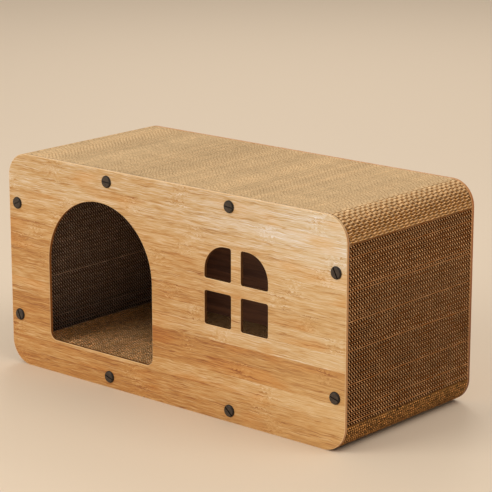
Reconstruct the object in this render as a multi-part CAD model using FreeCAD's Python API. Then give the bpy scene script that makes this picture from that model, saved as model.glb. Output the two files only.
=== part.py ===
import FreeCAD, Part

import math
import os

from FreeCAD import Vector

# A cat scratcher house: two bamboo panels clamp a ring of corrugated board
# between them. X runs along the front from left to right, the front faces -Y,
# and the origin is under the middle of the house, on the floor.

# The whole house, in millimetres
house_width = 592.0
house_depth = 264.0
house_height = 300.0
corner_radius = 34.0
panel_thickness = 5.0

# Doorway, on the left of the front panel
door_width = 192.5
door_centre_x = -124.0
door_sill_height = 46.5
door_head_margin = 46.0
door_corner_radius = 11.5

# Window, on the right: four panes between a cross of two bars
window_width = 106.5
window_height = 106.0
window_centre_x = 118.3
window_head_margin = 69.8
window_arch_radius = 35.0
window_bar_width = 16.4

# Corrugated scratching pads, bent round the corners, and side walls. Both are
# glued strips of board: a ridge at each glue line, and a groove between two
# ridges for the open flutes.
pad_thickness = 40.0
pad_end_height = 35.0
wall_thickness = 38.0
pad_strip_width = 4.7
wall_layer_height = 5.4
groove_depth = 1.8

# Connector bolts and the sleeve nuts that they screw into
bolt_shank_diameter = 6.0
head_diameter = 16.5
head_height = 2.4
head_slot_width = 1.7
head_slot_depth = 1.2
sleeve_diameter = 9.0
sleeve_length = 30.0
sleeve_bore_depth = 26.0
thread_engagement = 20.0
thread_gap = 0.1
panel_hole_gap = 0.2
channel_gap = 0.5

# Where the bolts stand: inset from the outer faces, and spacing along them
pad_bolt_inset = 15.5
pad_bolt_spacing = 215.0
wall_bolt_inset = 16.0
wall_bolt_spacing = 159.0

# How far each slot is turned up from level, seen from the front, in degrees
slot_turns = {
    "top_left": -1.0,
    "top_right": -5.0,
    "right_upper": -62.0,
    "right_lower": -16.0,
    "bottom_right": -40.0,
    "bottom_left": -18.0,
    "left_lower": -66.0,
    "left_upper": 27.0,
}

# Cuts run this far past the face that they open
overrun = 1.0

# Worked out from the sizes above
half_width = house_width / 2
inner_half_width = half_width - wall_thickness
front_face = -house_depth / 2
back_face = house_depth / 2
core_front = front_face + panel_thickness
core_depth = house_depth - 2 * panel_thickness
backwards = Vector(0, 1, 0)
upwards = Vector(0, 0, 1)
rightwards = Vector(1, 0, 0)
quarter_turn = math.pi / 2

pad_bolt_x = pad_bolt_spacing / 2
wall_bolt_x = half_width - wall_bolt_inset
upper_bolt_z = (house_height + wall_bolt_spacing) / 2
lower_bolt_z = (house_height - wall_bolt_spacing) / 2
top_bolt_z = house_height - pad_bolt_inset
bolt_places = {
    "top_left": (-pad_bolt_x, top_bolt_z),
    "top_right": (pad_bolt_x, top_bolt_z),
    "right_upper": (wall_bolt_x, upper_bolt_z),
    "right_lower": (wall_bolt_x, lower_bolt_z),
    "bottom_right": (pad_bolt_x, pad_bolt_inset),
    "bottom_left": (-pad_bolt_x, pad_bolt_inset),
    "left_lower": (-wall_bolt_x, lower_bolt_z),
    "left_upper": (-wall_bolt_x, upper_bolt_z),
}


def at(x, z, y=0):
    """A point: across and up the front, and y deep."""
    return Vector(x, y, z)


def on_circle(centre, radius, angle):
    """A point round a centre, anticlockwise from the right, seen from the front."""
    return centre + at(radius * math.cos(angle), radius * math.sin(angle))


def corner_arc(centre, radius, start):
    """A quarter circle, anticlockwise from the angle start."""
    middle = on_circle(centre, radius, start + quarter_turn / 2)
    end = on_circle(centre, radius, start + quarter_turn)
    return Part.Arc(on_circle(centre, radius, start), middle, end).toShape()


def line_edges(points):
    """Straight edges through a list of points."""
    return [Part.LineSegment(a, b).toShape() for a, b in zip(points, points[1:])]


def closed_wire(edges):
    """One closed wire from edges in any order."""
    return Part.Wire(Part.__sortEdges__(edges))


def rounded_outline(left, right, low, high, radii):
    """A rectangle; its radii, 0 for a sharp corner, run from the lower left."""
    corners = [(left, low, 1, 1), (right, low, -1, 1), (right, high, -1, -1), (left, high, 1, -1)]
    edges = []
    entries = []
    exits = []
    for number, (x, z, side, rise) in enumerate(corners):
        radius = radii[number]
        if radius > 0:
            centre = at(x + side * radius, z + rise * radius)
            start = math.pi + number * quarter_turn
            edges.append(corner_arc(centre, radius, start))
            entries.append(on_circle(centre, radius, start))
            exits.append(on_circle(centre, radius, start + quarter_turn))
        else:
            entries.append(at(x, z))
            exits.append(at(x, z))
    for number in range(len(corners)):
        edges += line_edges([exits[number - 1], entries[number]])
    return closed_wire(edges)


def door_outline():
    """Rounded at the sill, straight up the jambs, and half a circle on top."""
    radius = door_width / 2
    left = door_centre_x - radius
    right = door_centre_x + radius
    sill = door_sill_height
    spring = house_height - door_head_margin - radius
    corner = door_corner_radius
    edges = line_edges([at(left + corner, sill), at(right - corner, sill)])
    edges.append(corner_arc(at(right - corner, sill + corner), corner, -quarter_turn))
    edges += line_edges([at(right, sill + corner), at(right, spring)])
    edges.append(corner_arc(at(door_centre_x, spring), radius, 0))
    edges.append(corner_arc(at(door_centre_x, spring), radius, quarter_turn))
    edges += line_edges([at(left, spring), at(left, sill + corner)])
    edges.append(corner_arc(at(left + corner, sill + corner), corner, math.pi))
    return closed_wire(edges)


def pane_outlines():
    """The four panes; the outer corners of the upper two make the arch."""
    pane_width = (window_width - window_bar_width) / 2
    pane_height = (window_height - window_bar_width) / 2
    left = window_centre_x - window_width / 2
    right = left + window_width
    high = house_height - window_head_margin
    low = high - window_height
    arch = window_arch_radius
    return [
        rounded_outline(left, left + pane_width, low, low + pane_height, [0, 0, 0, 0]),
        rounded_outline(right - pane_width, right, low, low + pane_height, [0, 0, 0, 0]),
        rounded_outline(left, left + pane_width, high - pane_height, high, [0, 0, 0, arch]),
        rounded_outline(right - pane_width, right, high - pane_height, high, [0, 0, arch, 0]),
    ]


def make_panel(front_y, openings, hole_diameter):
    """A bamboo board with its openings and a hole for every bolt."""
    outline = rounded_outline(-half_width, half_width, 0, house_height, [corner_radius] * 4)
    board = Part.Face(outline).extrude(backwards * panel_thickness)
    cut_depth = panel_thickness + 2 * overrun
    cutters = [Part.Face(opening).extrude(backwards * cut_depth) for opening in openings]
    for x, z in bolt_places.values():
        cutters.append(Part.makeCylinder(hole_diameter / 2, cut_depth, at(x, z), backwards))
    for cutter in cutters:
        cutter.translate(backwards * -overrun)
    board = board.cut(cutters)
    board.translate(backwards * front_y)
    return board


def strip_line(start, end, strip, outwards):
    """Strip edges side by side: a ridge at each glue line, a groove between two."""
    run = end - start
    count = max(1, round(run.Length / strip))
    low = outwards * groove_depth
    points = [start]
    for number in range(count):
        points.append(start + run * ((number + 0.5) / count) - low)
        points.append(start + run * ((number + 1) / count))
    return points


def strip_corner(centre, start, strip):
    """The same strips, fanned out round a quarter of the corner radius."""
    count = max(1, round(corner_radius * quarter_turn / strip))
    step = quarter_turn / count
    low_radius = corner_radius - groove_depth
    points = [on_circle(centre, corner_radius, start)]
    for number in range(count):
        points.append(on_circle(centre, low_radius, start + (number + 0.5) * step))
        points.append(on_circle(centre, corner_radius, start + (number + 1) * step))
    return points


def core_block(points, bolts):
    """Extrude a closed outline from panel to panel, less its bolt channels."""
    size = sleeve_diameter + 2 * channel_gap
    wires = [closed_wire(line_edges(points + points[:1]))]
    for place in bolts:
        x, z = bolt_places[place]
        sides = [x - size / 2, x + size / 2, z - size / 2, z + size / 2]
        wires.append(rounded_outline(*sides, [0, 0, 0, 0]))
    block = Part.makeFace(wires, "Part::FaceMakerBullseye").extrude(backwards * core_depth)
    block.translate(backwards * core_front)
    return block


def pad_points(foot):
    """Outline of a pad with its ends bent up; foot holds the points along its outer side."""
    flat = half_width - corner_radius
    inner = inner_half_width
    right_bend = strip_corner(at(flat, corner_radius), -quarter_turn, pad_strip_width)
    left_bend = strip_corner(at(-flat, corner_radius), math.pi, pad_strip_width)
    upper = strip_line(at(inner, pad_thickness), at(-inner, pad_thickness),
                       pad_strip_width, upwards)
    points = foot + right_bend
    points += [at(half_width, pad_end_height), at(inner, pad_end_height)]
    points += upper
    points += [at(-inner, pad_end_height), at(-half_width, pad_end_height)]
    return points + left_bend


def make_bottom_pad():
    """Flat underneath, where the house stands on the floor."""
    return core_block(pad_points([]), ["bottom_left", "bottom_right"])


def make_top_pad():
    """The same pad turned over, with strips on its outer side as well."""
    flat = half_width - corner_radius
    foot = strip_line(at(-flat, 0), at(flat, 0), pad_strip_width, -upwards)
    pad = core_block(pad_points(foot[1:-1]), ["bottom_left", "bottom_right"])
    return pad.mirror(at(0, house_height / 2), upwards)


def make_right_wall():
    """Layers of board lying flat, one on another, from pad to pad."""
    low = pad_end_height
    high = house_height - pad_end_height
    outer = strip_line(at(half_width, low), at(half_width, high),
                       wall_layer_height, rightwards)
    inner = strip_line(at(inner_half_width, high), at(inner_half_width, low),
                       wall_layer_height, -rightwards)
    return core_block(outer + inner, ["right_upper", "right_lower"])


def turned(section):
    """A full turn about the Y axis of a section given as radius and depth."""
    full_turn = 360
    points = [at(radius, 0, depth) for radius, depth in section]
    return Part.Face(Part.makePolygon(points + points[:1])).revolve(at(0, 0), backwards, full_turn)


def with_slot(shape, turn):
    """Cut the screwdriver slot right across the head."""
    length = head_diameter + 2 * overrun
    low_corner = at(-length / 2, -head_slot_width / 2, head_height - head_slot_depth)
    slot = Part.makeBox(length, head_slot_depth + overrun, head_slot_width, low_corner)
    slot.rotate(at(0, 0), backwards, turn)
    return shape.cut(slot)


def make_bolt(place):
    """Its head seats on the front panel and its shank runs right through."""
    head = head_diameter / 2
    shank = bolt_shank_diameter / 2
    reach = house_depth - sleeve_length + thread_engagement
    section = [(0, head_height), (head, head_height), (head, 0), (shank, 0)]
    section += [(shank, -reach), (0, -reach)]
    bolt = with_slot(turned(section), slot_turns[place])
    half_turn = 180
    bolt.rotate(at(0, 0), upwards, half_turn)
    x, z = bolt_places[place]
    bolt.translate(at(x, z, front_face))
    return bolt


def make_sleeve_nut(place):
    """The same head on the back panel, with a barrel that the bolt screws into."""
    head = head_diameter / 2
    barrel = sleeve_diameter / 2
    bore = bolt_shank_diameter / 2 + thread_gap
    bore_end = sleeve_bore_depth - sleeve_length
    section = [(0, head_height), (head, head_height), (head, 0), (barrel, 0)]
    section += [(barrel, -sleeve_length), (bore, -sleeve_length), (bore, bore_end), (0, bore_end)]
    nut = with_slot(turned(section), slot_turns[place])
    x, z = bolt_places[place]
    nut.translate(at(x, z, back_face))
    return nut


def save(shape, node):
    """Write one piece under its node's name."""
    shape.exportStep("parts/" + node + ".step")


os.makedirs("parts", exist_ok=True)

front_openings = [door_outline()] + pane_outlines()
save(make_panel(front_face, front_openings, bolt_shank_diameter + 2 * panel_hole_gap), "front_panel")
save(make_panel(back_face - panel_thickness, [], sleeve_diameter + 2 * panel_hole_gap), "back_panel")

save(make_bottom_pad(), "bottom_pad")
save(make_top_pad(), "top_pad")
right_wall = make_right_wall()
save(right_wall, "right_wall")
save(right_wall.mirror(at(0, 0), rightwards), "left_wall")

for place in bolt_places:
    save(make_bolt(place), "bolt_" + place)
save(Part.makeCompound([make_sleeve_nut(place) for place in bolt_places]), "sleeve_nuts")
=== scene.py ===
import math

import bmesh
import bpy
import numpy as np
from mathutils import Matrix, Vector


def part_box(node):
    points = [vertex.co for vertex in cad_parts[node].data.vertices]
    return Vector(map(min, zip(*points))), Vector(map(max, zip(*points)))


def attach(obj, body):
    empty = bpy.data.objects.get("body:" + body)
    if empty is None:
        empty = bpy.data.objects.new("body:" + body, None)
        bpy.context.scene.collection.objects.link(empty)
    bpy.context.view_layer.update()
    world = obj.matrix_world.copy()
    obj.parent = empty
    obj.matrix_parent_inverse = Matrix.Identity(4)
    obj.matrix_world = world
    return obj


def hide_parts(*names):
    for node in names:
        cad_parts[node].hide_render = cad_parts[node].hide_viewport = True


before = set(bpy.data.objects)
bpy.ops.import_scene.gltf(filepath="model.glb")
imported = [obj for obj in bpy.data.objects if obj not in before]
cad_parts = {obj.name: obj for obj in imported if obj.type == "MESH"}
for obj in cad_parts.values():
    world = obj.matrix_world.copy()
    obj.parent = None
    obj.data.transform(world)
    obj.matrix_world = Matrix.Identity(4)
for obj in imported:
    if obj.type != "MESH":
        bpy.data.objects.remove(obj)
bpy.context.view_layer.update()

# Bottom pad. Strips of light kraft corrugated board, glued face to face and
# stood on edge, with both ends bent up round the corners. Its upper face is the
# floor of the house, and the sawn edges of liners and flutes show all over it.

corner_radius = 0.034
pad_low, pad_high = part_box("bottom_pad")
wall_low, wall_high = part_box("right_wall")
house_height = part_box("front_panel")[1].z
flat_half = pad_high.x - corner_radius
flat_depth = 0.0014
bend_depth = 0.003
bend_steps = 24
bow_length, bow_stride = 0.083, 0.1
usual_opening, least_opening, most_opening = 0.8, 0.2, 1.2
row_stride = 0.035
# Rows over which the painted light and shade of the first rows fade out.
first_shading_reach = 7
flank_steepness = 1.7
darkest_tone = 0.2
core_tone = 0.9
liner_step = 0.006
liner_wear = 0.0003
liner_fray = 0.75
bright_chance = 0.15
paper_roughness, paper_gloss = 0.9, 0.15
paper_edge = 0.12
fibre_waves, fibre_bump, fibre_height = 900, 0.25, 0.0004
cloud_waves = (10, 30, 25)
paper_fibre, paper_cloud = 0.5, 0.3
flat_flute = {
    "row": 0.0047, "wave": 0.006, "wave_steps": 8, "liner": 0.0004, "thick": 0.0031, "depth": flat_depth,
    "reach": 1, "crowd": 0, "pit_shading": 0.01, "lean": 0.5, "rise": 1, "flank_shading": 0, "dip": 0.0001,
    "drift": 1.5, "bow": 0.5, "spread": 0.1, "fading": 0, "press": 0.25, "dull": 0, "fray": 0.1,
    "glint": 0.35, "warmth_and_shade": 0, "side_shade": 0, "tone": 0.74, "liner_tone": 0.76, "first_rows_shading": 1,
    "back_shade": 1, "pale_lines": {},
}
# The floor and the ceiling get painted shade towards the back of the house.
floor_flute = {
    **flat_flute, "wave": 0.004, "thick": 0.0019, "pit_shading": 0.35, "lean": 0.4, "flank_shading": 0.1, "dip": 0.0004,
    "fray": 0.4, "warmth_and_shade": 0.1, "tone": 0.97, "liner_tone": 0.97, "first_rows_shading": 1.6, "back_shade": 0.45,
}
bent_flute = {
    **flat_flute, "row": 0.00445, "wave": 0.0105, "wave_steps": 14, "thick": 0.0012, "depth": bend_depth,
    "reach": 0.4, "crowd": 0.25, "pit_shading": 0.3, "lean": 2, "flank_shading": 0.05, "dip": 0.0005, "drift": 0.7,
    "bow": 0.5, "fading": 6, "press": 2, "fray": 0.2, "side_shade": 0.45, "tone": 0.83, "liner_tone": 0.75,
}
# The foot of the bottom pad is the same kraft board, made darker and warmer as painted shade.
shaded_foot_flute = {
    **bent_flute, "wave": 0.004, "wave_steps": 8, "thick": 0.002, "reach": 1, "pit_shading": 0.6, "lean": 0.4,
    "flank_shading": 0.3, "dip": 0.0006, "drift": 2.5, "bow": 0, "fading": 0, "press": 0.25, "fray": 0.6,
    "warmth_and_shade": 1, "side_shade": 0, "tone": 0.35, "liner_tone": 0.35,
}


class Ink:
    """One shader socket; reckoning with it adds the nodes that work the sum out."""

    def __init__(self, tree, socket):
        self.tree = tree
        self.socket = socket

    def node(self, kind, settings=None, feeds=None, output=0):
        """Any node: its type, its settings, then the values or links of its sockets."""
        made = self.tree.nodes.new("ShaderNode" + kind)
        for name, value in (settings or {}).items():
            if name == "steps":
                made.color_ramp.interpolation = value
            elif name == "stops":
                elements = made.color_ramp.elements
                while len(elements) < len(value):
                    elements.new(1)
                for element, (place, colour) in zip(elements, value):
                    element.position = place
                    element.color = (*colour, 1)
            else:
                setattr(made, name, value)
        for name, value in (feeds or {}).items():
            if isinstance(value, Ink):
                self.tree.links.new(value.socket, made.inputs[name])
            else:
                made.inputs[name].default_value = value
        return Ink(self.tree, made.outputs[output])

    def math(self, operation, *others):
        """A Math node of this socket and others."""
        return self.node("Math", {"operation": operation}, dict(enumerate((self, *others))))

    def __add__(self, other):
        return self.math("ADD", other)

    def __sub__(self, other):
        return self.math("SUBTRACT", other)

    def __mul__(self, other):
        return self.math("MULTIPLY", other)

    def __truediv__(self, other):
        return self.math("DIVIDE", other)

    def __pow__(self, other):
        return self.math("POWER", other)

    def __abs__(self):
        return self.math("ABSOLUTE")

    def __rsub__(self, other):
        return self.node("Math", {"operation": "SUBTRACT"}, {0: other, 1: self})

    __radd__ = __add__
    __rmul__ = __mul__

    def along(self, axis):
        """One part of a vector socket: 0, 1 or 2."""
        return self.node("SeparateXYZ", None, {"Vector": self}, axis)

    def joined(self, x, y, z):
        """A vector from three numbers or sockets."""
        return self.node("CombineXYZ", None, {"X": x, "Y": y, "Z": z})

    def moved(self, other):
        """A vector socket, shifted by another."""
        return self.node("VectorMath", {"operation": "ADD"}, {0: self, 1: other})

    def noise(self, x, y, z, detail=2.0, roughness=0.5):
        """Cloudy noise about 0.5 over a vector socket, with so many waves per metre each way."""
        scaled = self.node("VectorMath", {"operation": "MULTIPLY"}, {0: self, 1: (x, y, z)})
        feeds = {"Vector": scaled, "Scale": 1.0, "Detail": detail, "Roughness": roughness}
        return self.node("TexNoise", None, feeds)

    def ramp(self, low, high):
        """0 at low and 1 at high, eased between."""
        settings = {"interpolation_type": "SMOOTHSTEP"}
        return self.node("MapRange", settings, {"Value": self, "From Min": low, "From Max": high})

    def blend(self, first, second):
        """Two colours, mixed by this socket."""
        first, second = [(*colour, 1) if isinstance(colour, tuple) else colour for colour in (first, second)]
        return self.node("Mix", {"data_type": "RGBA"}, {0: self, 6: first, 7: second}, 2)

    def tint(self, other):
        """This colour times a number or a colour."""
        return self.node("VectorMath", {"operation": "MULTIPLY"}, {0: self, 1: other})

    def bump(self, strength, distance):
        """A normal from this height."""
        feeds = {"Strength": strength, "Distance": distance, "Height": self}
        return self.node("Bump", None, feeds)

    def into(self, shader, name):
        """Feed a socket of a shader."""
        self.tree.links.new(self.socket, shader.inputs[name])


def new_finish(name):
    """A material, its shader and the place on the object, in metres."""
    material = bpy.data.materials.new(name)
    material.use_nodes = True
    tree = material.node_tree
    shader = tree.nodes["Principled BSDF"]
    place = Ink(tree, tree.nodes.new("ShaderNodeTexCoord").outputs["Object"])
    return material, shader, place


def board_finish(name, pale, warmth_and_shade, body, inside, fade):
    """Corrugated board: cut edges, pale or warmer, over browner paper. The warmer colour is partly painted
    shade, and painted shade darkens the paper into the flutes.
    """
    material, shader, place = new_finish(name)
    shader.inputs["Roughness"].default_value = paper_roughness
    shader.inputs["Specular IOR Level"].default_value = paper_gloss
    deep = place.node("Attribute", {"attribute_name": "deep"}, output=2)
    tone = place.node("Attribute", {"attribute_name": "tone"}, output=2)
    warmth = place.node("Attribute", {"attribute_name": "warmth"}, output=2)
    fibre = place.noise(fibre_waves, fibre_waves, fibre_waves, 3.0, 0.7)
    cloud = place.noise(*cloud_waves)
    paper = deep.ramp(0.0, paper_edge).blend(warmth.blend(pale, warmth_and_shade), body)
    # Painted shade: the deeper a point lies in a flute, the nearer it comes to the near-black inside colour.
    shade = (deep ** fade).blend(paper, inside)
    light = tone * (1 - paper_fibre / 2 + paper_fibre * fibre) * (1 - paper_cloud / 2 + paper_cloud * cloud)
    shade.tint(light).into(shader, "Base Color")
    fibre.bump(fibre_bump, fibre_height).into(shader, "Normal")
    return material


def bend_skin(distance):
    """The bend at the right: x, z and the way out, from its wall end round to the flat."""
    turn = distance / corner_radius
    out_x, out_z = np.cos(turn), -np.sin(turn)
    x = flat_half + corner_radius * out_x
    z = corner_radius + corner_radius * out_z
    return x, z, out_x, out_z


def floor_skin(distance):
    """The floor of the house, from the right wall to the middle."""
    x = wall_low.x - distance
    flat = np.zeros_like(x)
    return x, flat + pad_high.z, flat, flat + 1


def other_hand(skin):
    """The same face on the left of the house."""
    def flipped(distance):
        x, z, out_x, out_z = skin(distance)
        return -x, z, -out_x, out_z
    return flipped


def turned_over(skin):
    """The same face at the other end of the height."""
    def flipped(distance):
        x, z, out_x, out_z = skin(distance)
        return x, house_height - z, out_x, -out_z
    return flipped


def wandering(dice, count, stride, pull=0.8):
    """A slow random walk about 0, one value a row."""
    walk = np.zeros((count, 1))
    for number in range(1, count):
        walk[number] = pull * walk[number - 1] + stride * dice.normal()
    return walk


def far_shade(y, flute):
    """Painted shade along Y: tone 1 at the front of the house, falling to the flute's back_shade at the
    back.
    """
    return 1 + (flute["back_shade"] - 1) * (y - pad_low.y) / (pad_high.y - pad_low.y)


def flute_lines(rows, row, flute, dice):
    """The flutes of a face: place along Y and up, half their thickness each way, dip and tone.

    A flute swings from liner to liner. One flank of each wave stands to the
    skin, and the saw has pressed the other one in.
    """
    number = np.arange(rows)[:, None]
    steps = round((pad_high.y - pad_low.y) / flute["wave"] * flute["wave_steps"])
    y = np.linspace(pad_low.y, pad_high.y, steps + 1)[None]
    opening = usual_opening + wandering(dice, rows, flute["spread"])
    open_share = np.clip(opening, least_opening, most_opening)
    if flute["fading"]:
        open_share *= np.clip((rows - number) / flute["fading"], 0, 1)
    row_tone = 1 + wandering(dice, rows, row_stride) - flute["dull"] * (1 - open_share)
    # Painted light and shade near the first rows: the floor and ceiling lighter next to the walls, the inner
    # walls darker at their foot.
    row_tone *= 1 + (flute["first_rows_shading"] - 1) * np.exp(-number / first_shading_reach)
    slip = 2 * math.pi * (dice.random() + np.cumsum(dice.normal(0, flute["drift"], (rows, 1)), 0))
    bow = flute["bow"] * np.sin(2 * math.pi * (y / bow_length + wandering(dice, rows, bow_stride)))
    pace = 2 * math.pi / flute["wave"]
    phase = pace * y + slip + bow
    swing = flute["reach"] * (row - flute["liner"] - flute["thick"]) / 2
    lean = flute["rise"] * flute["lean"]
    place = y + lean * swing * np.sin(phase)
    up = row * (number + 0.5) + swing * np.sin(phase)
    run = 1 + lean * swing * pace * np.cos(phase)
    climb = swing * pace * np.cos(phase)
    size = np.hypot(run, climb)
    half = flute["thick"] / 2 * (1 + flute["press"] * (1 - open_share))
    side = np.clip(flank_steepness * np.cos(phase), -1, 1) * flute["rise"]
    dip = flute["dip"] * open_share * (1 - side)
    # Painted light and shade on the flanks: the standing flank lighter, the pressed flank darker.
    tone = np.maximum(flute["tone"] + flute["flank_shading"] * open_share * side, darkest_tone)
    tone = tone * row_tone * (1 + flute["fray"] * dice.normal(size=side.shape)) * far_shade(y, flute)
    return place, up, -climb / size * half, run / size * half, dip, tone


def liner_lines(rows, row, flute, dice):
    """The liners of a face, in the same terms. They run straight along Y between the rows."""
    steps = round((pad_high.y - pad_low.y) / liner_step)
    shape = (rows + 1, steps + 1)
    y = np.broadcast_to(np.linspace(pad_low.y, pad_high.y, steps + 1), shape)
    up = np.broadcast_to(row * np.arange(rows + 1)[:, None], shape)
    bright = np.where(dice.random((rows + 1, 1)) < bright_chance, 1 + flute["glint"], 1)
    for number, gain in flute["pale_lines"].items():
        bright[number] = gain
    tone = flute["liner_tone"] * bright * (1 + liner_fray * flute["fray"] * dice.normal(size=shape))
    half = np.full(shape, flute["liner"] / 2)
    return y, up, np.zeros(shape), half, liner_wear * dice.random(shape), tone * far_shade(y, flute)


def paper_walls(skin, length, flute, lines):
    """Low walls that stand on the core along lines: points, quads, depth, tone and warmth."""
    place, up, over, above, dip, tone = lines
    ring_y = np.clip(np.stack([place - over] * 2 + [place + over] * 2), pad_low.y, pad_high.y)
    ring_up = np.clip(np.stack([up - above] * 2 + [up + above] * 2), 0, length)
    ring_up = ring_up * (1 - flute["crowd"] * (1 - ring_up / length))
    foot = np.full_like(dip, flute["depth"])
    sink = np.stack([foot, dip, dip, foot])
    x, z, out_x, out_z = skin(ring_up)
    points = np.stack([x - out_x * sink, ring_y, z - out_z * sink], -1).reshape(-1, 3)
    corner = np.arange(sink.size).reshape(sink.shape)
    low, high = corner[:-1], corner[1:]
    quads = np.stack([low[..., :-1], low[..., 1:], high[..., 1:], high[..., :-1]], -1).reshape(-1, 4)
    # Painted shade that grows with depth in the flute.
    deep = sink / flute["depth"] * flute["pit_shading"]
    tone = np.broadcast_to(tone, sink.shape)
    # The warmth is partly painted shade: each face gets the warmth of the light it lies in, and upright
    # faces get more of it.
    warmth_and_shade = np.broadcast_to(flute["warmth_and_shade"] + flute["side_shade"] * abs(out_x), sink.shape)
    return points, quads, deep.ravel(), tone.ravel(), warmth_and_shade.ravel()


def cut_edges(skin, length, flute, dice):
    """Every liner and flute of a face, seen on edge: points, quads and three shades.

    A flute's values, lengths in metres:
    row, wave: pitch of the rows and length of a wave; wave_steps: points on it
    liner, thick: thickness of a liner and of a flute; depth: down to the core
    reach: share of the room between two liners that the wave swings over
    lean, rise: tilt of the wave, and which of its flanks stands to the skin
    dip, contrast: how deep the pressed flank lies, and how much painted shade darkens it while painted light
    lifts the standing flank
    drift, bow: slip of the wave from row to row and slowly along the row
    spread, press, dull: how much the rows' openings differ, and how much
        thicker and darker a closed row is; fading: rows that close at the end
    crowd: how far the rows draw together at the start
    tone, liner_tone, fray, gloom: lightness, its chance part, and painted shade inside the flutes
    glint, pale_lines: extra tone of chance liners and of chosen ones
    first_rows_shading, back_shade: painted light and shade near the first rows, and painted shade at the
    back of the house
    warm, turning: warmth of the cut edges, partly painted shade, and more of it on upright faces as painted
    shade
    """
    rows = max(1, round(length / flute["row"]))
    row = length / rows
    flutes = paper_walls(skin, length, flute, flute_lines(rows, row, flute, dice))
    liners = paper_walls(skin, length, flute, liner_lines(rows, row, flute, dice))
    points, quads, *shades = [np.concatenate(parts) for parts in zip(flutes, liners)]
    quads[len(flutes[1]):] += len(flutes[0])
    # On a mirrored or turned-over skin the quads have to run the other way round.
    x, z, out_x, out_z = skin(np.array([0.0, row / 10]))
    if (z[1] - z[0]) * out_x[0] < (x[1] - x[0]) * out_z[0]:
        quads = quads[:, ::-1]
    return points, quads, shades


def board_piece(name, points, faces, shades, finish, node):
    """A piece of board that stands for a node, from its points, faces and three shades."""
    mesh = bpy.data.meshes.new(name)
    mesh.from_pydata(points, [], faces)
    for attribute, values in zip(("deep", "tone", "warmth"), shades):
        layer = mesh.attributes.new(attribute, "FLOAT", "POINT")
        layer.data.foreach_set("value", np.asarray(values, np.float32))
    mesh.materials.append(finish)
    piece = bpy.data.objects.new(name, mesh)
    bpy.context.scene.collection.objects.link(piece)
    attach(piece, "root")
    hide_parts(node)


def both_hands(name, skin, length, flute, dice, finish, node):
    """The same fluted face on the right of the house and, mirrored, on the left."""
    mirrored = {**flute, "rise": -flute["rise"]}
    for hand, face, own_flute in (("right", skin, flute), ("left", other_hand(skin), mirrored)):
        points, quads, shades = cut_edges(face, length, own_flute, dice)
        board_piece(name.format(hand), points, quads.tolist(), shades, finish, node.format(hand))


def core(name, outline, finish, node):
    """The closed body of a block, from panel to panel, over its outline in x and z; it lies all in painted
    shade.
    """
    count = len(outline)
    points = [(x, y, z) for y in (pad_low.y, pad_high.y) for x, z in outline]
    faces = [(k, (k + 1) % count, (k + 1) % count + count, k + count) for k in range(count)]
    faces += [tuple(range(count - 1, -1, -1)), tuple(range(count, 2 * count))]
    shades = [[1] * len(points), [core_tone] * len(points), [1] * len(points)]
    board_piece(name, points, faces, shades, finish, node)


def pad_outline(foot_sink):
    """Section of a pad, from the middle of its foot anticlockwise; its fluted faces lie sunk."""
    right = [(0, foot_sink), (flat_half, foot_sink), (flat_half, bend_depth)]
    radius = corner_radius - bend_depth
    for number in range(1, bend_steps + 1):
        turn = math.pi / 2 * number / bend_steps
        right.append((flat_half + radius * math.sin(turn), corner_radius - radius * math.cos(turn)))
    right.append((flat_half + radius, wall_low.z))
    right += [(wall_low.x, wall_low.z), (wall_low.x, pad_high.z - flat_depth)]
    return right + [(-x, z) for x, z in reversed(right[1:])]


kraft_pale = (0.80, 0.58, 0.33)
# A warm brown that stands for painted shade on the pad's foot and its bends, and a little on the floor.
kraft_warm_shade = (0.78, 0.38, 0.13)
kraft_body = (0.70, 0.34, 0.07)
# The inside colour is painted shade at the bottom of the flutes.
kraft_pit_shade = (0.46, 0.18, 0.02)
kraft_fade = 0.4
kraft = board_finish("kraft board", kraft_pale, kraft_warm_shade, kraft_body, kraft_pit_shade, kraft_fade)

bend_length = corner_radius * math.pi / 2
dice = np.random.default_rng(7)
core("bottom_pad_core", pad_outline(0), kraft, "bottom_pad")
both_hands("bottom_pad_{}_bend", bend_skin, bend_length, shaded_foot_flute, dice, kraft, "bottom_pad")
both_hands("bottom_pad_{}_floor", floor_skin, wall_low.x, floor_flute, dice, kraft, "bottom_pad")

# Top pad. The same pad turned over. Its outside is the scratching surface, and
# its inside is the ceiling.


def top_skin(distance):
    """The scratching surface, from the right bend to the middle."""
    x = flat_half - distance
    flat = np.zeros_like(x)
    return x, flat + house_height, flat, flat + 1


outline = [(x, house_height - z) for x, z in reversed(pad_outline(flat_depth))]
core("top_pad_core", outline, kraft, "top_pad")
both_hands("top_pad_{}_scratching_face", top_skin, flat_half, flat_flute, dice,
           kraft, "top_pad")
both_hands("top_pad_{}_bend", turned_over(bend_skin), bend_length, bent_flute, dice,
           kraft, "top_pad")
both_hands("top_pad_{}_ceiling", turned_over(floor_skin), wall_low.x, floor_flute, dice,
           kraft, "top_pad")

# Side walls. Layers of dark brown corrugated board, laid flat one on another
# between the pads. Inside and outside show the open ends of their flutes.

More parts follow.
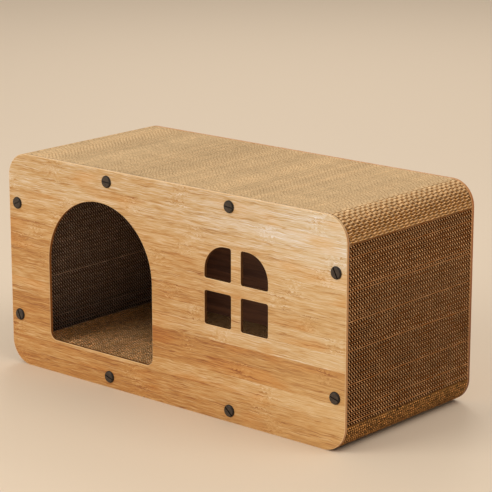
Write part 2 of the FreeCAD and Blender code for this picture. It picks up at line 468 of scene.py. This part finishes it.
umber_flute = {
    **flat_flute, "row": 0.0054, "wave": 0.005, "liner": 0.0005, "thick": 0.0009, "depth": 0.004, "pit_shading": 1,
    "lean": 0.4, "rise": -1, "flank_shading": 0.38, "dip": 0.002, "drift": 0.03, "bow": 0.3, "spread": 0.2,
    "press": 0.5, "dull": 0.3, "fray": 0.12, "glint": 0.7, "warmth_and_shade": 1, "tone": 0.92, "liner_tone": 0.95,
}
inner_flute = {
    **umber_flute, "wave": 0.0045, "rise": 1, "flank_shading": 0.8, "dip": 0.001, "fading": 22, "fray": 0.15,
    "glint": 0.35, "warmth_and_shade": 0, "tone": 1.2, "liner_tone": 1.5, "first_rows_shading": 0.35, "pale_lines": {16: 2.3},
}
umber_pale = (0.50, 0.40, 0.33)
umber_warm = (0.56, 0.33, 0.16)
umber_body = (0.48, 0.15, 0.015)
# The inside colour is painted shade at the bottom of the flutes.
umber_pit_shade = (0.042, 0.010, 0.0005)
umber_fade = 0.27
umber = board_finish("umber board", umber_pale, umber_warm, umber_body, umber_pit_shade, umber_fade)
# A greyer copy of the umber board for the inside faces of the walls: painted shade for the dim inside of the
# house.
shaded_umber_body = (0.40, 0.23, 0.14)
shaded_umber_pit_shade = (0.030, 0.016, 0.010)
shaded_umber = board_finish("umber board inside", umber_pale, umber_warm, shaded_umber_body, shaded_umber_pit_shade, umber_fade)
wall_height = wall_high.z - wall_low.z


def outer_skin(distance):
    """Outside of the right wall, from its foot up."""
    z = wall_low.z + distance
    flat = np.zeros_like(z)
    return flat + wall_high.x, z, flat + 1, flat


def inner_skin(distance):
    """Inside of the right wall, from its foot up."""
    z = wall_low.z + distance
    flat = np.zeros_like(z)
    return flat + wall_low.x, z, flat - 1, flat


inner_x = wall_low.x + inner_flute["depth"]
outer_x = wall_high.x - umber_flute["depth"]
section = [(inner_x, wall_low.z), (outer_x, wall_low.z), (outer_x, wall_high.z), (inner_x, wall_high.z)]
core("right_wall_core", section, umber, "right_wall")
section = [(-x, z) for x, z in reversed(section)]
core("left_wall_core", section, umber, "left_wall")
both_hands("{}_wall_outside", outer_skin, wall_height, umber_flute, dice, umber, "{}_wall")
both_hands("{}_wall_inside", inner_skin, wall_height, inner_flute, dice, shaded_umber, "{}_wall")

# Back panel. A five millimetre board of laminated bamboo under a clear satin
# lacquer, its edges eased, drilled for the sleeve nuts. Its inside is dark with painted shade.

strip_height = 0.0208
strip_foot = 0.0004
arris = 0.0009
arris_crease = math.radians(40)
circle_handle = 0.5523
arc_steps, arris_steps = 16, 3
node_pitch = 0.23
knot_core, knot_reach = 0.004, 0.026
sway, knot_sway = 0.003, 0.008
slip_seed = 31.7
grain_shift, grain_lift, node_shift = 3, 7, 3
tone_lift = 0.04
broad_part, fibre_part, hair_part = 0.24, 0.5, 0.8
figure_part, figure_in_highlight = 1.5, 0.8
wisp_plain, wisp_patch, wisp_seam, wisp_knot = 0.28, 0.5, 0.35, 0.2
wisp_part, joint_part, knot_part, knot_lift = 0.35, 0.2, 0.4, 0.05
# After the stain, these lines place a painted highlight to the right of the front board, painted shade at
# its foot and painted light at its top.
stain_part, highlight_part = 0.75, 0.85
highlight_left, highlight_right = -0.05, 0.3
foot_shade_low, foot_shade_high = 0.07, 0.13
head_light_low, head_light_high = 0.21, 0.27
opening_right, opening_rise, opening_edge = 0.27, 0.12, 0.004
arris_highlight_part, arris_highlight_opening = 0.8, 0.25
# How much darker, as painted shade, the window's sawn sides are than the doorway's, and where the change
# lies:
jamb_shade, jamb_shade_left, jamb_shade_right = 0.55, -0.02, 0.06
ply_pitch, ply_part = 0.0016, 0.1
lacquer_rough, fibre_rough = 0.42, 0.2
grain_bump, grain_height = 0.35, 0.0004
grain_stops = [(0.1, (0.27, 0.091, 0.016)), (0.42, (0.48, 0.233, 0.061)), (0.62, (0.58, 0.35, 0.138)),
               (0.95, (0.74, 0.56, 0.36))]
plain = (1, 1, 1)
stain_tint = (0.97, 0.77, 0.50)
# Tints of the painted highlight, of the painted shade at the foot and of the painted light at the top:
highlight_tint = (1.28, 1.62, 2.45)
foot_shade_tint = (1.0, 0.95, 0.85)
head_light_tint = (1.0, 1.1, 1.3)
# Painted shade on the inside faces of the panels:
inside_shade_dark, inside_shade_pale = (0.075, 0.023, 0.009), (0.20, 0.078, 0.034)
# The colour of the painted highlight on the eased edges:
arris_highlight = (0.82, 0.58, 0.32)
# The sawn tops are lighter than the sawn sides as painted light.
sawn_side, sawn_top_lit = (0.46, 0.22, 0.08), (0.60, 0.40, 0.20)
# Painted shade on the sawn sides and sills inside the openings:
opening_side_shade, opening_sill_shade = (0.36, 0.13, 0.03), (0.17, 0.065, 0.015)


def laid_strips(place, tones, seed):
    """The strips of a board: each one's own place in the grain, its tone, seams and knots."""
    strip = (place.along(2) - strip_foot) / strip_height
    number = strip.math("FLOOR")
    edge = abs(strip - number - 0.5)
    luck = place.node("TexWhiteNoise", {"noise_dimensions": "1D"}, {"W": number + seed})
    slip = place.node("TexWhiteNoise", {"noise_dimensions": "1D"}, {"W": number + seed + slip_seed})
    stops = [(k / len(tones), (tone, tone, tone)) for k, tone in enumerate(tones)]
    level = (number + 0.5) / len(tones)
    tone = place.node("ValToRGB", {"stops": stops, "steps": "CONSTANT"}, {"Fac": level})
    board = place.moved(place.joined(grain_shift * slip, 0.0, grain_lift * luck))
    along = place.along(0) / node_pitch + slip * node_shift
    from_node = abs(along - along.math("FLOOR") - 0.5) * node_pitch
    return board, tone, edge, 1 - from_node.ramp(knot_core, knot_reach)


def lacquered_face(place, tones, painted_light, seed):
    """The face of a board: colour, dark streaks, fibres and relief. On the front board, a painted highlight
    pales it towards its right, painted light pales its top and painted shade darkens its foot.
    """
    board, tone, edge, knot = laid_strips(place, tones, seed)
    ripple = board.noise(60, 1, 130, 1.0) - 0.5
    curl = board.noise(210, 1, 210, 2.0) - 0.5
    grain = board.moved(place.joined(0.0, 0.0, sway * ripple + knot_sway * knot * curl))
    broad = grain.noise(6, 10, 120, 2.0)
    fibre = grain.noise(14, 40, 520, 3.0, 0.65)
    hair = grain.noise(40, 60, 1150, 2.0, 0.6)
    line = 1 - abs(grain.noise(9, 20, 330, 2.0) - 0.5) * 2
    patch = board.noise(12, 1, 60, 1.0).ramp(0.42, 0.62)
    seam = edge.ramp(0.36, 0.5)
    wisp = line.ramp(0.93, 1.0) * (wisp_plain + wisp_patch * patch + wisp_seam * seam + wisp_knot * knot)
    joint = edge.ramp(0.475, 0.5) * grain.noise(25, 1, 1, 1.0).ramp(0.4, 0.6)
    # Painted highlight: paler towards the right of the board, its grain washed out.
    highlight = highlight_part * painted_light * place.along(0).ramp(highlight_left, highlight_right)
    figure = broad_part * (broad - 0.5) + fibre_part * (fibre - 0.5) + hair_part * (hair - 0.5)
    light = tone + tone_lift + figure * (figure_part - figure_in_highlight * highlight)
    light = light - wisp_part * wisp - joint_part * joint + knot_part * knot * (curl + knot_lift)
    stain = stain_part * board.noise(9, 1, 28, 2.0).ramp(0.5, 0.72)
    z = place.along(2)
    wood = place.node("ValToRGB", {"stops": grain_stops}, {"Fac": light})
    wood = wood.tint(stain.blend(plain, stain_tint))
    wood = wood.tint(highlight.blend(plain, highlight_tint))
    # Painted shade at the foot of the board and painted light at its top.
    wood = wood.tint((painted_light * (1 - z.ramp(foot_shade_low, foot_shade_high))).blend(plain, foot_shade_tint))
    wood = wood.tint((painted_light * z.ramp(head_light_low, head_light_high)).blend(plain, head_light_tint))
    streak = 2 * broad + 2 * fibre - 1.5
    relief = fibre + hair - 2 * wisp
    return wood, streak, fibre, relief


def sawn_edges(place, wood, edge_shading):
    """Over the colour of its face, a board's eased edges and its sawn sides with their plies. Painted light
    and shade lie on them: a highlight on the eased edges, lighter sawn tops, edges darker at the foot, and
    shade inside the openings.
    """
    x, y, z = place.along(0), place.along(1), place.along(2)
    normal = place.node("NewGeometry", None, None, 1)
    face = abs(normal.along(1))
    across, upright = opening_right - abs(x), opening_rise - abs(z - house_height / 2)
    opening = across.math("MINIMUM", upright).ramp(0, opening_edge)
    # Painted highlight along the eased edges, weaker round the openings.
    eased = face.ramp(0.25, 0.55) * (1 - face.ramp(0.93, 0.995)) * (arris_highlight_part - arris_highlight_opening * opening)
    # Painted shade and light on the edges: darker at the foot of the house, lighter towards the top.
    edge_light = z.ramp(0.0, house_height).blend(*edge_shading)
    wood = eased.blend(wood, edge_light.tint(arris_highlight))
    upward = normal.along(2).ramp(0.2, 0.9)
    # Painted light: sawn sides that look up are lighter than those that look sideways.
    side = upward.blend(sawn_side, sawn_top_lit).tint(edge_light)
    # Painted shade inside the door and the window: darker on the sills, and darker round the window panes
    # than in the doorway.
    shaded_jamb = upward.blend(opening_side_shade, opening_sill_shade).tint(1 - jamb_shade * x.ramp(jamb_shade_left, jamb_shade_right))
    cut = 1 - face.ramp(0.1, 0.3)
    ply = (y * (2 * math.pi / ply_pitch)).math("SINE")
    return cut.blend(wood, opening.blend(side, shaded_jamb)).tint(1 + ply_part * ply * cut)


def bamboo_finish(name, outward, tones, painted_light, edge_shading, seed):
    """Laid strips of bamboo, a tone for each from the foot up; the lacquered face looks outward."""
    material, shader, place = new_finish(name)
    wood, streak, fibre, relief = lacquered_face(place, tones, painted_light, seed)
    depthwise = place.node("NewGeometry", None, None, 1).along(1)
    # Painted shade: the inside face of a board is dark and brown, whatever its grain.
    shaded_inside = (depthwise * -outward).ramp(0.2, 0.7)
    wood = shaded_inside.blend(wood, streak.blend(inside_shade_dark, inside_shade_pale))
    sawn_edges(place, wood, edge_shading).into(shader, "Base Color")
    (lacquer_rough + fibre_rough * fibre).into(shader, "Roughness")
    relief.bump(grain_bump, grain_height).into(shader, "Normal")
    return material


back_tones = (0.50, 0.58, 0.62, 0.46, 0.52, 0.66, 0.55, 0.48, 0.60, 0.64, 0.54, 0.58, 0.68, 0.60, 0.62)
# The back board's edges: painted shade at the foot, painted light at the top.
back_edge_shading = (0.38, 0.25, 0.15), (0.82, 0.57, 0.36)
back_bamboo = bamboo_finish("back bamboo", 1, back_tones, 0.0, back_edge_shading, 50)


def arc_loop(corners):
    """Bezier points round a closed outline; each corner is (x, z, radius), anticlockwise."""
    loop = []
    count = len(corners)
    for number, (x, z, radius) in enumerate(corners):
        corner = Vector((x, z))
        before = (Vector(corners[number - 1][:2]) - corner).normalized()
        after = (Vector(corners[(number + 1) % count][:2]) - corner).normalized()
        start, end = corner + before * radius, corner + after * radius
        handle = radius * circle_handle
        loop.append((start, start, start - before * handle))
        loop.append((end, end - after * handle, end))
    return loop


def hole_loop(x, z, radius):
    """A drilled hole, run clockwise as a cut-out."""
    handle = radius * circle_handle
    loop = []
    for out_x, out_z in ((1, 0), (0, -1), (-1, 0), (0, 1)):
        place = Vector((x + radius * out_x, z + radius * out_z))
        ahead = Vector((out_z, -out_x)) * handle
        loop.append((place, place - ahead, place + ahead))
    return loop


def bamboo_panel(name, node, loops, finish):
    """A board with eased edges, cut to its loops: the outline first, then the holes."""
    low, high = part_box(node)
    curve = bpy.data.curves.new(name, "CURVE")
    curve.dimensions = "2D"
    curve.fill_mode = "BOTH"
    curve.resolution_u = arc_steps
    for loop in loops:
        spline = curve.splines.new("BEZIER")
        spline.bezier_points.add(len(loop) - 1)
        for point, (place, left, right) in zip(spline.bezier_points, loop):
            point.co = (*place, 0)
            point.handle_left = (*left, 0)
            point.handle_right = (*right, 0)
        spline.use_cyclic_u = True
    curve.extrude = (high.y - low.y) / 2 - arris
    curve.bevel_depth = arris
    curve.bevel_resolution = arris_steps
    curve.offset = -arris
    line = bpy.data.objects.new(name + "_line", curve)
    mesh = bpy.data.meshes.new_from_object(line)
    bpy.data.objects.remove(line)
    bpy.data.curves.remove(curve)
    mesh.transform(Matrix.Translation((0, (low.y + high.y) / 2, 0)) @ Matrix.Rotation(math.pi / 2, 4, "X"))
    mesh.materials.append(finish)
    mesh.shade_smooth()
    mesh.set_sharp_from_angle(angle=arris_crease)
    piece = bpy.data.objects.new(name, mesh)
    bpy.context.scene.collection.objects.link(piece)
    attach(piece, "root")
    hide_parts(node)


panel_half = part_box("front_panel")[1].x
outside = [(-panel_half, 0, corner_radius), (panel_half, 0, corner_radius),
           (panel_half, house_height, corner_radius), (-panel_half, house_height, corner_radius)]
places = {}
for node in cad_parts:
    if node.startswith("bolt_"):
        low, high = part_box(node)
        places[node] = ((low.x + high.x) / 2, (low.z + high.z) / 2)
sleeve_hole = 0.0047
loops = [arc_loop(outside)] + [hole_loop(x, z, sleeve_hole) for x, z in places.values()]
bamboo_panel("back_board", "back_panel", loops, back_bamboo)

# Front panel. The same board, cut out for the arched doorway and for the four
# panes of the window, and drilled for the bolts.

door_left, door_right = -0.22025, -0.02775
door_sill, door_spring = 0.0465, 0.15775
door_corner = 0.0115
window_left, window_right = 0.06505, 0.17155
window_low, window_high = 0.1242, 0.2302
bar = 0.0164
window_arch = 0.035
pane_corner = 0.003
bolt_hole = 0.0032
front_tones = (0.39, 0.43, 0.55, 0.40, 0.33, 0.57, 0.50, 0.44, 0.51, 0.51, 0.58, 0.60, 0.65, 0.61, 0.60)
# The front board carries the painted light: a highlight towards its right, lighter at its top, darker at its
# foot.
front_bamboo = bamboo_finish("front bamboo", -1, front_tones, 1.0, (plain, plain), 0)


def clockwise(loop):
    """The same loop run the other way, as a cut-out."""
    return [(place, right, left) for place, left, right in reversed(loop)]


door_radius = (door_right - door_left) / 2
door_head = door_spring + door_radius
door = [(door_left, door_sill, door_corner), (door_right, door_sill, door_corner),
        (door_right, door_head, door_radius), (door_left, door_head, door_radius)]
middle_x = (window_left + window_right) / 2
middle_z = (window_low + window_high) / 2
cuts = [clockwise(arc_loop(door))]
for left, right in ((window_left, middle_x - bar / 2), (middle_x + bar / 2, window_right)):
    for low, high in ((window_low, middle_z - bar / 2), (middle_z + bar / 2, window_high)):
        radii = [pane_corner] * 4
        if high == window_high:
            radii[3 if left == window_left else 2] = window_arch
        corners = [(left, low), (right, low), (right, high), (left, high)]
        pane = [(x, z, radius) for (x, z), radius in zip(corners, radii)]
        cuts.append(clockwise(arc_loop(pane)))
cuts += [hole_loop(x, z, bolt_hole) for x, z in places.values()]
bamboo_panel("front_board", "front_panel", [arc_loop(outside)] + cuts, front_bamboo)

# Bolts and sleeve nuts. Slotted connector bolts of bronzed steel, turned and
# threaded, screwed through the front panel into slotted sleeve nuts behind.

bronze_face = (0.050, 0.035, 0.025)
# Painted shade for the bevels, sides and slots:
bronze_shade = (0.008, 0.004, 0.002)
bronze_metal = 0.15
bronze_rough, rub_rough = 0.32, 0.25
rub_waves, rub_bump, rub_height = 400, 0.15, 0.0002
blotch_waves, blotch_part = 300, 0.45
turned_crease = math.radians(30)
head_radius, head_height, head_bevel = 0.00825, 0.0024, 0.0015
slot_width, slot_depth = 0.0017, 0.0012
slot_cutter = 2.4 * head_radius
shank_radius, shank_point = 0.003, 0.0006
thread_pitch, thread_depth, thread_length, thread_rings = 0.001, 0.0005, 0.02, 6
sleeve_radius, sleeve_length, sleeve_chamfer = 0.0045, 0.03, 0.0004
sleeve_bore, sleeve_bore_depth, sleeve_groove = 0.0031, 0.026, 0.0004
slot_turns = {
    "bolt_top_left": -1, "bolt_top_right": -5, "bolt_right_upper": -62, "bolt_right_lower": -16,
    "bolt_bottom_right": -40, "bolt_bottom_left": -18, "bolt_left_lower": -66, "bolt_left_upper": 27,
}
nut_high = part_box("sleeve_nuts")[1]


def steel_finish(name):
    """Bronzed steel: brown-black faces, with painted shade round their edges and in their slots."""
    material, shader, place = new_finish(name)
    shader.inputs["Metallic"].default_value = bronze_metal
    rub = place.noise(rub_waves, rub_waves, rub_waves, 3.0, 0.6)
    blotch = place.noise(blotch_waves, blotch_waves, blotch_waves, 2.0).ramp(0.35, 0.65)
    flat = abs(place.node("NewGeometry", None, None, 1).along(1)).ramp(0.85, 0.99)
    proud = abs(place.along(1)).ramp(nut_high.y - slot_depth, nut_high.y - slot_depth / 2)
    # Painted shade: the bevels, the sides and the slots go near black; only the face proud of the slot keeps
    # the bronze colour.
    shade = (flat * proud * (1 - blotch_part + blotch_part * blotch)).blend(bronze_shade, bronze_face)
    shade.into(shader, "Base Color")
    (bronze_rough + rub_rough * rub).into(shader, "Roughness")
    rub.bump(rub_bump, rub_height).into(shader, "Normal")
    return material


def thread(radius, start, end, groove):
    """Rings of a screw thread: its groove runs out at both ends."""
    count = round(abs(end - start) / thread_pitch * thread_rings)
    rings = []
    for number in range(count + 1):
        run_out = min(1, number / thread_rings, (count - number) / thread_rings)
        rings.append((radius, start + (end - start) * number / count, groove * run_out))
    return rings


def turned_rings(profile, turns=48):
    """Points and quads of a profile of (radius, along, groove), turned about the Y axis."""
    points, faces = [], []
    for radius, along, groove in profile:
        for number in range(turns):
            around = number / turns
            angle = 2 * math.pi * around
            sunk = groove * abs(2 * ((along / thread_pitch + around) % 1) - 1)
            points.append(((radius - sunk) * math.cos(angle), along, (radius - sunk) * math.sin(angle)))
    for ring in range(len(profile) - 1):
        for number in range(turns):
            after = (number + 1) % turns
            faces.append((ring * turns + number, ring * turns + after,
                          (ring + 1) * turns + after, (ring + 1) * turns + number))
    faces.append(tuple(range(turns - 1, -1, -1)))
    last = (len(profile) - 1) * turns
    faces.append(tuple(range(last, last + turns)))
    return points, faces


def solid(points, faces):
    """A closed mesh with its normals turned outwards."""
    shape = bmesh.new()
    rows = [shape.verts.new(point) for point in points]
    for face in faces:
        shape.faces.new([rows[number] for number in face])
    bmesh.ops.recalc_face_normals(shape, faces=shape.faces)
    mesh = bpy.data.meshes.new("solid")
    shape.to_mesh(mesh)
    shape.free()
    return mesh


def slotted(mesh, place, turn, depth):
    """Cut a screwdriver slot across a head whose face stands at place along Y."""
    size = (slot_cutter, 2 * depth, slot_width)
    block = bpy.data.meshes.new("block")
    shape = bmesh.new()
    bmesh.ops.create_cube(shape, size=1)
    shape.to_mesh(block)
    shape.free()
    block.transform(Matrix.Translation((0, place, 0)) @ Matrix.Rotation(-turn, 4, "Y")
                    @ Matrix.Diagonal((*size, 1)))
    cutter = bpy.data.objects.new("cutter", block)
    body = bpy.data.objects.new("body", mesh)
    for thing in (cutter, body):
        bpy.context.scene.collection.objects.link(thing)
    cut = body.modifiers.new("slot", "BOOLEAN")
    cut.object = cutter
    cut.operation = "DIFFERENCE"
    cut.solver = "EXACT"
    ready = body.evaluated_get(bpy.context.evaluated_depsgraph_get())
    result = bpy.data.meshes.new_from_object(ready)
    bpy.data.objects.remove(body)
    bpy.data.objects.remove(cutter)
    return result


def steel_piece(name, mesh, finish, node):
    """A turned piece that stands for a node."""
    mesh.materials.clear()
    mesh.materials.append(finish)
    mesh.shade_smooth()
    mesh.set_sharp_from_angle(angle=turned_crease)
    piece = bpy.data.objects.new(name, mesh)
    bpy.context.scene.collection.objects.link(piece)
    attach(piece, "root")
    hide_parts(node)


steel = steel_finish("bronzed steel")
head_curve = ((1, 0), (0.73, 0.2), (0.33, 0.53), (0.07, 0.93), (0, 1.2))
head = [(head_radius - head_bevel * inwards, head_bevel * down, 0) for inwards, down in head_curve]
head.append((head_radius, head_height, 0))
barrel_end = head_height + sleeve_length
barrel = [(sleeve_radius, head_height, 0), (sleeve_radius, barrel_end - sleeve_chamfer, 0),
          (sleeve_radius - sleeve_chamfer, barrel_end, 0), (sleeve_bore + sleeve_chamfer, barrel_end, 0)]
bore = thread(sleeve_bore, barrel_end - sleeve_chamfer, barrel_end - sleeve_bore_depth, -sleeve_groove)
for node, (x, z) in places.items():
    low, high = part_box(node)
    tip = high.y - low.y
    shank = [(shank_radius, head_height, 0)] + thread(shank_radius, tip - thread_length, tip - shank_point,
                                                      thread_depth)
    shank.append((shank_radius - shank_point, tip, 0))
    turn = math.radians(slot_turns[node])
    mesh = slotted(solid(*turned_rings(head + shank)), 0, turn, slot_depth)
    mesh.transform(Matrix.Translation((x, low.y, z)))
    steel_piece(node + "_turned", mesh, steel, node)
    mesh = slotted(solid(*turned_rings(head + barrel + bore)), 0, turn, slot_depth)
    mesh.transform(Matrix.Translation((x, nut_high.y, z)) @ Matrix.Rotation(math.pi, 4, "Z"))
    steel_piece(node.replace("bolt", "sleeve_nut"), mesh, steel, "sleeve_nuts")

# Floor, light and camera. A plain pale floor, soft light from the left, the
# front and above, and a long lens at the height of a person sitting by.

floor_half = 15
floor_colour = (0.74, 0.64, 0.52)
floor_roughness = 0.7
sky_colour = (1.0, 0.89, 0.77)
sky_strength = 0.55
floor_mesh = bpy.data.meshes.new("floor")
floor_corners = [(-1, -1), (1, -1), (1, 1), (-1, 1)]
floor_mesh.from_pydata([(x * floor_half, y * floor_half, 0) for x, y in floor_corners], [], [(0, 1, 2, 3)])
floor_finish, floor_shader = new_finish("floor")[:2]
floor_shader.inputs["Base Color"].default_value = (*floor_colour, 1)
floor_shader.inputs["Roughness"].default_value = floor_roughness
floor_mesh.materials.append(floor_finish)
floor = bpy.data.objects.new("floor", floor_mesh)
bpy.context.scene.collection.objects.link(floor)

world = bpy.data.worlds.new("studio")
world.use_nodes = True
backdrop = world.node_tree.nodes["Background"]
backdrop.inputs["Color"].default_value = (*sky_colour, 1)
backdrop.inputs["Strength"].default_value = sky_strength
bpy.context.scene.world = world
bpy.context.scene.view_settings.view_transform = "Standard"


def softbox(name, place, size, power, colour):
    """A square lamp that looks at the middle of the house."""
    lamp = bpy.data.lights.new(name, "AREA")
    lamp.size = size
    lamp.energy = power
    lamp.color = colour
    stand = bpy.data.objects.new(name, lamp)
    stand.location = place
    aim = Vector((0, 0, house_height / 2)) - Vector(place)
    stand.rotation_euler = aim.to_track_quat("-Z", "Y").to_euler()
    bpy.context.scene.collection.objects.link(stand)


softbox("key", (-1.2, -2.6, 1.8), 2.0, 54, (1.0, 0.93, 0.84))
softbox("right", (1.6, 0.2, 2.2), 1.6, 22, (1.0, 0.94, 0.86))
softbox("back", (-1.8, 2.4, 2.4), 1.6, 24, (1.0, 0.94, 0.86))

camera_turn = math.radians(40.99)
camera_tilt = math.radians(14.47)
camera_distance = 2.858
aim_right = 0.0158
aim_up = 0.0386
focal_length = 155.56
film_width = 36
ahead = Vector((-math.sin(camera_turn) * math.cos(camera_tilt),
                math.cos(camera_turn) * math.cos(camera_tilt), -math.sin(camera_tilt)))
rightwards = Vector((math.cos(camera_turn), math.sin(camera_turn), 0))
upwards = rightwards.cross(ahead)
camera_data = bpy.data.cameras.new("camera")
camera_data.lens = focal_length
camera_data.sensor_width = film_width
camera = bpy.data.objects.new("camera", camera_data)
aim = Vector((0, 0, house_height / 2)) + rightwards * aim_right + upwards * aim_up
camera.location = aim - ahead * camera_distance
camera.rotation_euler = ahead.to_track_quat("-Z", "Y").to_euler()
bpy.context.scene.collection.objects.link(camera)
bpy.context.scene.camera = camera
